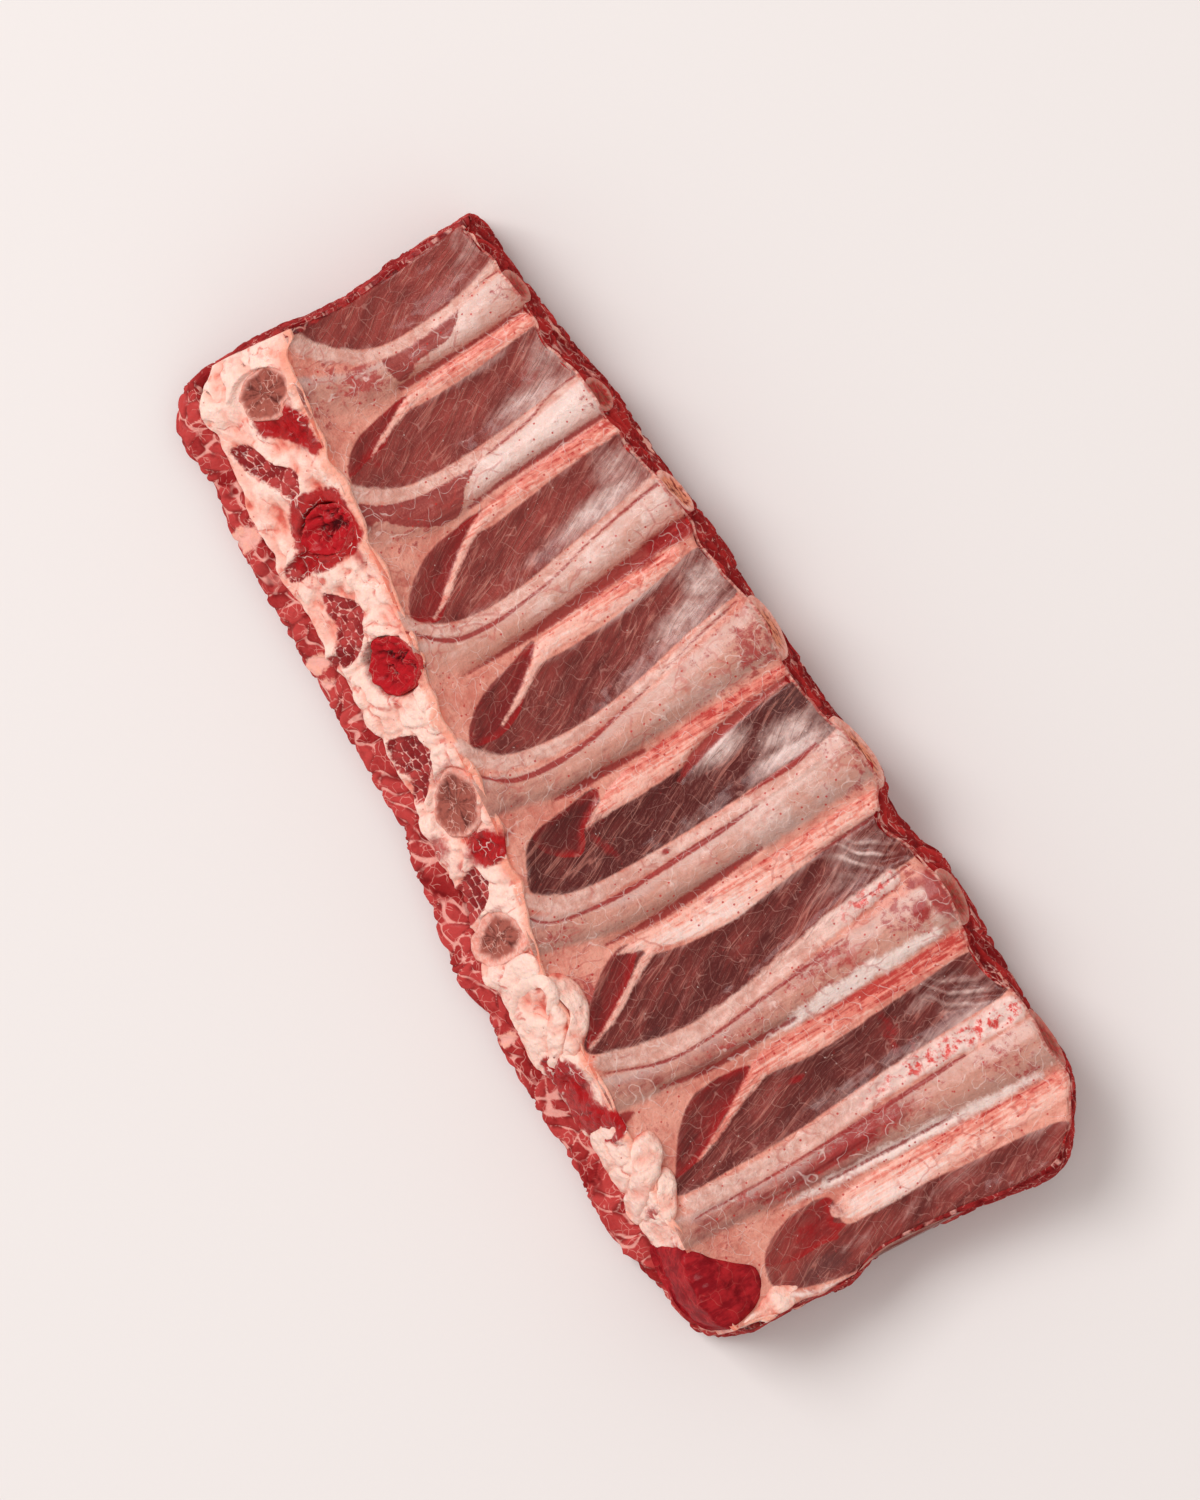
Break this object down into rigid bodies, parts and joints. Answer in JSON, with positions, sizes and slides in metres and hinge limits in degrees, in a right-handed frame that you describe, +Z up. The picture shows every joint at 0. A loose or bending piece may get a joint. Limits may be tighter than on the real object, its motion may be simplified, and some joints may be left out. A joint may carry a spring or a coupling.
{
  "type": "raw beef back ribs",
  "caption": "Rack of raw beef back ribs lying bone side up: curved rib bones bedded in lean meat, with a fat edge where they left the spine.",
  "frame": {"origin": "on the table, under the middle of the rack's bounding box", "axes": "+X along the rack across the ribs, +Y along the ribs from the spine side to the sawn tips, +Z up, bone side up"},
  "size_m": [0.4123, 0.1778, 0.0492],
  "materials": {
    "lean": "moist raw lean beef, dark red, under a thin glossy membrane",
    "fat": "moist raw beef fat, cream pink, lumpy and glossy",
    "bone": "bone under a thin wet membrane, beige pink, smooth"
  },
  "bodies": {
    "root": {"lean_meat": "lean", "chine_fat": "fat", "rib_bone_1": "bone", "rib_bone_2": "bone", "rib_bone_3": "bone", "rib_bone_4": "bone", "rib_bone_5": "bone", "rib_bone_6": "bone", "rib_bone_7": "bone"}
  },
  "joints": []
}
